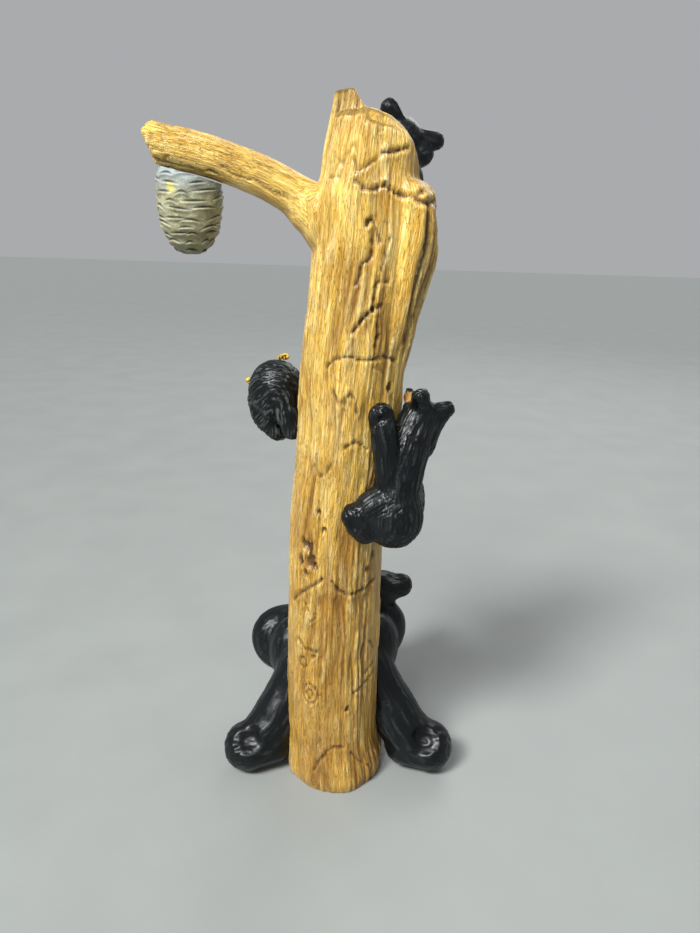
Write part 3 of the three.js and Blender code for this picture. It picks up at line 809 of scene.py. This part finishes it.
def box_at(low, high, turn, place):
    """A box, turned by angles in degrees and moved."""
    corners = np.array(list(itertools.product(*zip(low, high))))
    faces = [(0, 1, 3, 2), (4, 6, 7, 5), (0, 4, 5, 1), (2, 3, 7, 6), (0, 2, 6, 4), (1, 5, 7, 3)]
    return turned(corners, turn) + np.array(place), faces


def branch_breaks():
    """The branch ends in a slanted break, with a torn splinter left under it."""
    x, y, z = (-60.4, -6, 217.2)
    end = box_at((-14, -14, -14), (0, 14, 14), (0, -22, 6), (x, y, z))
    corner = box_at((-14, -14, -14), (0, 14, 14), (0, 44, 10), (x - 0.9, y, z + 4.2))
    ledge = box_at((-10, -12, -0.5), (0, 12, 0.3), (0, -18, 0), (x + 8, y, z - 5.2))
    return [end, corner, ledge]


# The forward face of the spike stands a step behind the wood under it.
SPIKE_STEP = 1.5
SPIKE_FACE = -135               # degrees
SPIKE_FOOT = HEIGHT - 6.9
LOG_SIDES = 120
LOG_STATIONS = 180
SLAB_STATIONS = 70
LOG_VOXEL = 0.50
LOG_SQUEEZE = 0.62


def add_trunk(form):
    """The trunk, less what is broken off its top."""
    turn = circle(LOG_SIDES)
    spike_face = 1 - ease(np.abs(wrapped(turn - math.radians(SPIKE_FACE))), 0.4, 0.5)
    rings = []
    for z in np.linspace(0, HEIGHT + 6, LOG_STATIONS):
        step = SPIKE_STEP * float(ease(z, SPIKE_FOOT, SPIKE_FOOT + 1)) * spike_face
        rings.append(log_ring(turn, z, trunk_radius(turn, np.full_like(turn, min(z, HEIGHT))) - step))
    form.add(*cut_by(*skin(rings), [*broken_top(), *top_hollows()]))


def add_bark(form):
    """The thick bark at the right, rounded over at its top and thinning out downwards."""
    turn = circle(LOG_SIDES)
    from_right = np.degrees(np.abs(wrapped(turn)))
    share = 1 - ease(from_right, SLAB_HALF_ANGLE - SLAB_EDGE_ANGLE, SLAB_HALF_ANGLE)
    rings = []
    for z in np.linspace(SLAB_FOOT, SLAB_TOP, SLAB_STATIONS):
        swell = SLAB_THICKNESS * float(ease(z, SLAB_FOOT, SLAB_TOP - 12))
        rounding = math.sqrt(1 - max(0, (z - SLAB_TOP + SLAB_ROUND) / (SLAB_ROUND + 0.6)) ** 2)
        ragged = 0.5 * np.sin(4 * turn + z * 0.21) * float(ease(z, SLAB_FOOT, SLAB_FOOT + 12))
        bark = share * rounding * (swell + ragged) - 1.2 * (1 - share)
        rings.append(log_ring(turn, z, trunk_radius(turn, np.full_like(turn, z)) + bark))
    form.add(*skin(rings))


def grain(flow, seed):
    """Broad and fine grooves and short dashes along the wood."""
    coarse = grooves(flow * 0.6, seed, 0.3)
    fine = grooves(flow * 1.1 + 3.1, seed + 1, 0.42)
    dashes = ease(noise(flow * np.array([0.85, 0.85, 2.0]) + 9.7, seed + 2), 0.05, 0.6)
    return coarse, fine, dashes


def build_log(material):
    form = Form()
    add_trunk(form)
    add_bark(form)
    branch = Form()
    branch.limb(BRANCH_JOINTS, BRANCH_RADII, sides=40, stations=60)
    form.add(*cut_by(branch.verts, branch.faces, branch_breaks()))
    points, quads = fuse("log", form, LOG_VOXEL, LOG_SQUEEZE)
    points = relax(points, quads, 3)

    # Where each point lies, and coordinates that run with the grain.
    turn, distance = about_log(points)
    angle = np.degrees(turn)
    z = points[:, 2]
    bone = branch.bones[0]
    near = gaps_to(bone[0], points).argmin(axis=1)
    run, across, over, offset = along_bone(bone, points, near)
    on_branch = ease(-points[:, 0], 12, 20) * (z > 170)
    branch_flow = columns(across, over, run * 0.09)
    trunk_flow = columns(16 * np.cos(turn), 16 * np.sin(turn), z * 0.075)
    trunk_flow[:, :2] += 0.5 * sheet_noise(turn * 3, z * 0.05, 5)[:, None]

    # Relief, which is weaker in a smooth panel right of the middle and along the branch.
    coarse, fine, dashes = ((1 - on_branch) * on_trunk + on_branch * along_branch
                            for on_trunk, along_branch in zip(grain(trunk_flow, 11), grain(branch_flow, 17)))
    worn = ease(sheet_noise(turn * 2.2, z * 0.035, 23), -0.35, 0.45)
    panel = ease(z, 164, 176) * ease(angle, -68, -60) * (1 - ease(angle, -42, -36))
    strength = (0.45 + 0.55 * worn) * (1 - 0.7 * panel) * (1 - 0.45 * on_branch)
    relief = log_relief(turn, z) * (1 - on_branch) + branch_relief(run, offset) * on_branch
    flutes = sheet_noise(turn * 4.2, z * 0.022, 61) * (1 - panel)
    torn = ease(-points[:, 0], 56, 60) * noise(points * 0.9, 63)
    outside = ease(distance, 7, 10)
    height = -strength * (0.62 * coarse + 0.2 * fine) + 0.34 * dashes * strength
    height += 0.5 * (1 - 0.7 * on_branch) * flutes + 0.45 * torn - relief * outside
    normal = normals_of(points, quads)
    side_face = np.clip(1 - np.abs(normal[:, 2]) * (1 - on_branch), 0, 1)
    broken = ease(np.abs(normal[:, 2]), 0.55, 0.8) * ease(z, 208, 216) * (1 - on_branch)

    # The broken top shows growth rings where the sides show grain.
    rings = columns(1.3 * distance, 0.08 * points[:, 0], 0.08 * points[:, 1])
    surface_flow = trunk_flow + (rings - trunk_flow) * broken[:, None]
    coarse, fine, dashes = (value * (1 - 0.85 * broken) for value in (coarse, fine, dashes))
    spike = ease(z, HEIGHT - 6.6, HEIGHT - 5.6) * ease(-points[:, 0], -1, 1)
    points = points + normal * (height * np.clip(side_face * 1.6, 0, 1))[:, None]
    points[:, 2] = np.maximum(points[:, 2], 0.0)
    piece("log", points, quads.tolist(), material, {
        "cut": np.clip(0.75 * strength * coarse + 0.4 * strength * fine, 0, 1),
        # crack: painted shade in the cracks, pits and knots, darker where they cut deeper; the spike's
        # recessed forward face is darkened too
        "crack": np.clip(relief * 1.5 + 0.42 * spike, 0, 1),
        "ridge": np.clip(dashes * strength, 0, 1),
        "trunk_flow": surface_flow,
        "branch_flow": branch_flow,
        "on_branch": on_branch,
    })


# ---- The nest and the bees ----

# Half widths up the nest, by share of its height.
NEST_PROFILE = [
    (0, 2.4), (0.04, 4.4), (0.12, 6.4), (0.3, 8.4), (0.52, 9.4), (0.8, NEST_RADIUS), (1, 7.4),
]
NEST_TIERS = 11
NEST_SCALES = 8
NEST_SIDES = 190
NEST_ROWS = 170
NEST_LID = 209.8                # where its sloping top crosses its axis
NEST_LID_SLOPE = 0.25
YELLOW_DAB = (-53, -12.6, 205.9)


def nest_creases(turn, z):
    """Short arched creases, tier over tier, with a lip under each: height, and darkness for the painted
    shade in them.
    """
    height = np.zeros(len(z))
    dark = np.zeros(len(z))
    for tier in range(NEST_TIERS + 1):
        for scale in range(NEST_SCALES):
            pick = lattice(np.array([[tier, scale, k] for k in range(4)]), 91)
            centre = 2 * math.pi * (scale + 0.5 * (tier % 2) + 0.22 * pick[0]) / NEST_SCALES
            level = (tier + 0.3 * pick[1]) * NEST_HEIGHT / NEST_TIERS
            half = math.radians(23 + 7 * pick[2])
            across = wrapped(turn - centre) / half
            window = np.clip(1 - across ** 2, 0, 1)
            gap = z - level + 1.5 * np.cos(turn + math.pi / 2)
            gap += (0.9 + 0.8 * pick[3]) * across ** 2 - 0.35 * pick[0] * across
            crease = window * bell(gap, 0.12 + 0.16 * window)
            height += window * 0.5 * bell(gap + 0.62, 0.5) - 0.5 * crease
            dark = np.maximum(dark, crease)
    return height, dark


def build_nest(material):
    """The nest, with its papery scales in relief, pressed down where the branch lies on it."""
    turn = circle(NEST_SIDES)
    rings = []
    deep = []
    for t in np.linspace(0, 1, NEST_ROWS):
        z = np.full(NEST_SIDES, t * NEST_HEIGHT)
        scales, dark = nest_creases(turn, z)
        lumps = noise(columns(np.cos(turn) * 4, np.sin(turn) * 4, z * 0.6), 3)
        radius = float(along(NEST_PROFILE, t)) + 0.1
        radius = radius + (0.8 * scales + 0.22 * lumps) * float(ease(t, 0, 0.05))
        x = NEST_AXIS[0] + radius * np.cos(turn)
        z = np.minimum(NEST_FOOT + z, NEST_LID - NEST_LID_SLOPE * (x - NEST_AXIS[0]) + 0.002 * z)
        rings.append(columns(x, NEST_AXIS[1] + radius * np.sin(turn), z))
        deep.append(dark)
    verts, faces = skin(rings)
    curve, _ = catmull(BRANCH_JOINTS, 120)
    gap = gaps_to(curve, verts)
    near = gap.argmin(axis=1)
    least = radius_along(BRANCH_RADII, near / (len(curve) - 1)) + 0.1
    drop = np.sqrt(np.maximum(least ** 2 - (verts - curve[near])[:, 1] ** 2, 0.4))
    pressed = np.minimum(verts[:, 2], curve[near, 2] - drop)
    verts[:, 2] = np.where(gap.min(axis=1) < least, pressed, verts[:, 2])
    dab = lengths((verts - YELLOW_DAB) * (1, 1, 0.7)) + 0.4 * noise(verts * 1.7, 6)
    piece("hive", verts, faces, material, {
        # cut: where painted shade darkens the creases
        "cut": np.concatenate([*deep, [0, 0]]),
        "dab": 0.75 * (1 - ease(dab, 0.2, 1.7)),
    })


BEE_VOXEL = 0.09
BEE_TURNS = {"bee_1": (0, 10, 160), "bee_2": (0, 60, 40)}


def build_bee(node, material):
    """A bee with a banded body, a head and two wings, where its CAD solid lies."""
    low, high = (np.array(corner) * 1000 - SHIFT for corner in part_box(node))
    half = BEE_HALF
    form = Form()
    form.egg((-0.35 * half, 0, 0), (half * 0.72, half * 0.46, half * 0.46))
    form.egg((0.62 * half, 0, 0.02), (half * 0.42, half * 0.38, half * 0.38))
    for which in (-1, 1):
        form.egg((-0.2 * half, which * 0.55 * half, 0.42 * half),
                 (half * 0.62, half * 0.3, half * 0.15), (0, 0, which * 24))
    points, quads = fuse(node, form, BEE_VOXEL)
    points = relax(points, quads, 3)
    band = np.clip(np.cos(points[:, 0] * 5.2) * 1.4, 0, 1) * (points[:, 2] < 0.36 * half)
    points = turned(points, BEE_TURNS[node]) + (low + high) / 2
    piece(node, points, quads.tolist(), material, {"cut": band})


# ---- Materials ----

class Paint:
    """A node material, built from left to right."""

    def __init__(self, name):
        self.material = bpy.data.materials.new(name)
        self.material.use_nodes = True
        self.tree = self.material.node_tree
        self.shader = self.tree.nodes["Principled BSDF"]
        self.place = self.add("ShaderNodeTexCoord", "Object", {})

    def plug(self, socket, value):
        """Another node's output, a colour as a tuple, or a plain value goes into a socket."""
        if isinstance(value, bpy.types.NodeSocket):
            self.tree.links.new(value, socket)
        else:
            socket.default_value = (*value, 1) if isinstance(value, tuple) else value

    def add(self, kind, output, inputs, **settings):
        """The output of a new node with these settings and inputs."""
        node = self.tree.nodes.new(kind)
        for key, value in settings.items():
            setattr(node, key, value)
        for key, value in inputs.items():
            self.plug(node.inputs[key], value)
        return node.outputs[output]

    def attribute(self, name, output="Fac"):
        return self.add("ShaderNodeAttribute", output, {}, attribute_name=name)

    def height(self):
        """Height above the ground, in metres."""
        return self.add("ShaderNodeSeparateXYZ", "Z", {"Vector": self.place})

    def noise(self, vector, scale, detail, rough=0.55):
        inputs = {"Vector": vector, "Scale": scale, "Detail": detail, "Roughness": rough}
        return self.add("ShaderNodeTexNoise", "Fac", inputs)

    def spots(self, size, detail):
        """Noise on a scale in millimetres along X, Y and Z."""
        inputs = {"Vector": self.place, "Scale": [1000 / s for s in size]}
        return self.noise(self.add("ShaderNodeMapping", "Vector", inputs), 1.0, detail)

    def ramp(self, value, stops):
        """Colours at places from 0 to 1."""
        color = self.add("ShaderNodeValToRGB", "Color", {"Fac": value})
        elements = color.node.color_ramp.elements
        while len(elements) < len(stops):
            elements.new(0.5)
        for element, (place, shade) in zip(elements, stops):
            element.position = place
            element.color = (*shade, 1)
        return color

    def grey(self, value, low, high, to_low=0.0, to_high=1.0):
        """A value mapped from one range to another, and kept inside it."""
        inputs = {"Value": value, "From Min": low, "From Max": high, "To Min": to_low, "To Max": to_high}
        return self.add("ShaderNodeMapRange", "Result", inputs, clamp=True)

    def mix(self, factor, a, b, blend="MIX"):
        """One colour over another; 6, 7 and 2 are the colour sockets of the node."""
        return self.add("ShaderNodeMix", 2, {0: factor, 6: a, 7: b}, data_type="RGBA", blend_type=blend)

    def layers(self, color, *paints):
        """Paints laid over a colour, each where its factor says."""
        for factor, paint in paints:
            color = self.mix(factor, color, paint)
        return color

    def math(self, operation, a, b):
        return self.add("ShaderNodeMath", 0, {0: a, 1: b}, operation=operation)

    def times(self, a, b):
        return self.math("MULTIPLY", a, b)

    def finish(self, color, fine, rough, bump, relief=None, **more):
        """The material: a range of roughness and bumps (mm, strength) that follow the noise
        `fine`, or another relief; `more` holds shader inputs, with _ for a space."""
        inputs = {"Height": relief or fine, "Distance": bump[0] / 1000, "Strength": bump[1]}
        normal = self.add("ShaderNodeBump", "Normal", inputs)
        roughness = self.grey(fine, 0.3, 0.7, *rough)
        inputs = {"Base_Color": color, "Roughness": roughness, "Normal": normal, **more}
        for key, value in inputs.items():
            self.plug(self.shader.inputs[key.replace("_", " ")], value)
        return self.material


def wood_paint():
    """Tan paint rubbed off the high places, brown wash left in the cuts, satin varnish."""
    p = Paint("wood_paint")
    share = p.attribute("on_branch")
    flows = [p.attribute("trunk_flow", "Vector"), p.attribute("branch_flow", "Vector")]

    def with_grain(scale, detail):
        """Noise that runs with the grain of the trunk and of the branch."""
        a, b = (p.noise(flow, scale, detail, 0.6) for flow in flows)
        return p.math("ADD", p.times(a, p.math("SUBTRACT", 1.0, share)), p.times(b, share))

    tan = [(0.28, (0.48, 0.225, 0.020)), (0.42, (0.77, 0.445, 0.055)),
           (0.54, (0.95, 0.635, 0.115)), (0.68, (1.0, 0.82, 0.33))]
    ochre = (0.60, 0.32, 0.028)
    straw = (1.0, 0.84, 0.38)
    pale = (0.98, 0.80, 0.34)
    # shade: the colour the bottom of the log is multiplied by, partly browner paint and partly painted shade
    shade = (0.62, 0.53, 0.44)
    wash = (0.25, 0.11, 0.010)
    pencil = (0.24, 0.11, 0.012)
    # pitch: the near-black of the painted shade in the cracks, pits and knots, and on the spike's forward
    # face
    pitch = (0.075, 0.030, 0.006)
    streaks = with_grain(1.3, 5.0)
    fine = with_grain(3.0, 4.0)
    broad = p.spots((11, 11, 26), 3.0)
    low = p.grey(p.height(), 0.02, 0.19, 1.0, 0.0)
    lines = p.math("SUBTRACT", with_grain(1.9, 2.0), 0.5)
    lines = p.grey(p.math("ABSOLUTE", lines, 0.0), 0.0, 0.022, 1.0, 0.0)
    color = p.layers(
        p.ramp(streaks, tan),
        (p.grey(broad, 0.45, 0.62, 0.0, 0.7), ochre),
        (p.times(p.attribute("ridge"), 0.6), straw),
        (p.grey(fine, 0.50, 0.66, 0.0, 0.5), pale),
    )
    color = p.layers(
        # Darker towards the bottom: partly a browner paint at the base, partly painted shade.
        p.mix(p.times(low, 0.85), color, shade, "MULTIPLY"),
        (p.times(p.attribute("cut"), p.grey(broad, 0.3, 0.65, 0.65, 1.0)), wash),
        (p.times(lines, p.grey(broad, 0.35, 0.62, 0.1, 0.5)), pencil),
        # Painted shade darkens the cracks, pits and knots, and the spike's forward face.
        (p.grey(p.attribute("crack"), 0.12, 1.0, 0.0, 0.88), pitch),
    )
    relief = p.math("SUBTRACT", p.math("ADD", streaks, p.times(fine, 0.5)), p.times(lines, 0.25))
    return p.finish(color, streaks, (0.28, 0.44), (0.9, 1.0), relief, Coat_Weight=0.25, Coat_Roughness=0.22)


def bear_paint():
    """Charcoal black, a little greyer where it is dry-brushed over the fur, deepened with painted shade in
    its grooves and hollows, and tan muzzles; where `worn` is set the dry-brush is paler, as painted light.
    """
    p = Paint("bear_paint")
    fine = p.spots((0.9, 0.9, 0.9), 5.0)
    broad = p.spots((7, 7, 7), 3.0)
    cut = p.attribute("cut")
    color = p.ramp(broad, [(0.35, (0.002, 0.004, 0.005)), (0.65, (0.006, 0.0085, 0.0095))])
    brushed = p.times(p.grey(cut, 0.02, 0.4, 0.8, 0.0), p.grey(fine, 0.35, 0.65, 0.3, 1.0))
    muzzle = p.ramp(fine, [(0.35, (0.42, 0.22, 0.06)), (0.65, (0.60, 0.36, 0.12))])
    color = p.layers(
        color,
        (brushed, (0.038, 0.044, 0.043)),
        # Painted light: the dry-brushed fur of a piece with worn set, the left cub, is painted paler.
        (p.times(brushed, p.attribute("worn")), (0.105, 0.118, 0.112)),
        # Painted shade deepens the fur strokes, clefts and dished hollows.
        (p.times(cut, 0.9), (0.0012, 0.0018, 0.0025)),
        (p.attribute("tan"), muzzle),
    )
    return p.finish(color, fine, (0.28, 0.42), (0.05, 0.2), Specular_IOR_Level=0.27)


def nest_paint():
    """Olive, blue-grey at the top, with a yellow dab, painted shade in the creases, and darker towards the
    bottom, partly with a dark wash and partly with painted shade.
    """
    p = Paint("nest_paint")
    fine = p.spots((0.8, 0.8, 0.5), 5.0)
    olive = [(0.38, (0.18, 0.175, 0.090)), (0.55, (0.30, 0.285, 0.155)), (0.7, (0.26, 0.275, 0.22))]
    color = p.layers(
        p.ramp(p.spots((6, 6, 9), 2.0), olive),
        (p.grey(fine, 0.45, 0.7, 0.0, 0.55), (0.54, 0.53, 0.35)),
        (p.grey(p.height(), 0.203, 0.210, 0.0, 0.75), (0.25, 0.31, 0.34)),
        # Darker towards the bottom: partly a dark wash, partly painted shade.
        (p.grey(p.height(), 0.188, 0.197, 0.55, 0.0), (0.10, 0.10, 0.055)),
        (p.attribute("dab"), (0.66, 0.57, 0.07)),
        # Painted shade in the creases between the scales.
        (p.grey(p.attribute("cut"), 0.1, 0.8, 0.0, 0.95), (0.028, 0.030, 0.026)),
    )
    return p.finish(color, fine, (0.45, 0.65), (0.10, 0.7))


def bee_paint():
    """Yellow with dark bands."""
    p = Paint("bee_paint")
    fine = p.spots((0.5, 0.5, 0.5), 3.0)
    color = p.ramp(fine, [(0.35, (0.62, 0.36, 0.03)), (0.65, (0.86, 0.58, 0.08))])
    color = p.mix(p.attribute("cut"), color, (0.03, 0.022, 0.012))
    return p.finish(color, fine, (0.4, 0.6), (0.03, 0.5))


def floor_paint():
    """A plain pale grey."""
    p = Paint("floor_paint")
    fine = p.spots((40, 40, 40), 4.0)
    color = p.ramp(fine, [(0.35, (0.250, 0.266, 0.256)), (0.65, (0.264, 0.281, 0.270))])
    return p.finish(color, fine, (0.5, 0.6), (0.02, 0.3))


# ---- Building ----

black = bear_paint()
yellow = bee_paint()
build_log(wood_paint())
build_nest(nest_paint())
mother_bear().build("mother_bear", black, voxel=0.62, fur=1.3, depth=0.40, soften=9, seed=101)
right_cub().build("right_cub", black, voxel=0.31, fur=0.72, depth=0.50, soften=7, seed=201)
# The left cub's dry-brush is painted paler, as painted light.
left_cub().build("left_cub", black, voxel=0.31, fur=0.66, depth=0.46, soften=7, seed=301, worn=1.0)
top_cub().build("top_cub", black, voxel=0.34, fur=0.72, depth=0.30, soften=6, seed=401)
for bee in ("bee_1", "bee_2"):
    build_bee(bee, yellow)


# ---- Stage ----

FLOOR_HALF = 4.0                # metres
CAMERA_PLACE = (0, -224.6, 195.3)
CAMERA_LENS = 18.03
CAMERA_PITCH = 18.5             # degrees down
CAMERA_ROLL = 0.031             # radians


def add_floor():
    size = FLOOR_HALF
    corners = [(-size, -size, 0), (size, -size, 0), (size, size, 0), (-size, size, 0)]
    floor = add_mesh("floor", corners, [(0, 1, 2, 3)])
    floor.data.materials.append(floor_paint())


def add_light(name, place, aim, size, power):
    """A soft lamp of size metres, aimed at a place."""
    light = bpy.data.lights.new(name, "AREA")
    light.shape = "RECTANGLE"
    light.size, light.size_y = size
    light.energy = power
    obj = add_object(name, light)
    obj.location = place
    obj.rotation_euler = (Vector(aim) - Vector(place)).to_track_quat("-Z", "Y").to_euler()


def add_sun(name, towards, angle, strength):
    """Daylight from a direction, as soft as its angle is wide."""
    light = bpy.data.lights.new(name, "SUN")
    light.angle = angle
    light.energy = strength
    add_object(name, light).rotation_euler = Vector(towards).to_track_quat("Z", "Y").to_euler()


def add_world(color, strength):
    world = bpy.data.worlds.new("world")
    world.use_nodes = True
    background = world.node_tree.nodes["Background"]
    background.inputs["Color"].default_value = color
    background.inputs["Strength"].default_value = strength
    bpy.context.scene.world = world


def add_camera():
    """Level with the upper third of the figurine, looking down at it, rolled a little."""
    camera = bpy.data.cameras.new("camera")
    camera.sensor_fit = "VERTICAL"
    camera.sensor_height = 24
    camera.lens = CAMERA_LENS
    camera.clip_start = 0.01
    obj = add_object("camera", camera)
    obj.location = to_row(CAMERA_PLACE)
    obj.rotation_mode = "XYZ"
    pitch = Euler((math.radians(90 - CAMERA_PITCH), 0, 0)).to_matrix()
    roll = Euler((0, 0, CAMERA_ROLL)).to_matrix()
    obj.rotation_euler = (pitch @ roll).to_euler()
    bpy.context.scene.camera = obj


add_floor()
middle = to_row([0, 0, 120])
add_light("key", (-0.14, -0.34, 0.50), middle, (0.12, 0.12), 1.9)
add_light("back", (0.3, 0.7, 0.7), middle, (0.6, 0.5), 2.5)
add_sun("daylight", (-0.68, -0.66, 1.0), math.radians(14), 3.8)
add_world((0.96, 0.97, 1.0, 1), 0.42)
bpy.context.scene.view_settings.view_transform = "Standard"
add_camera()
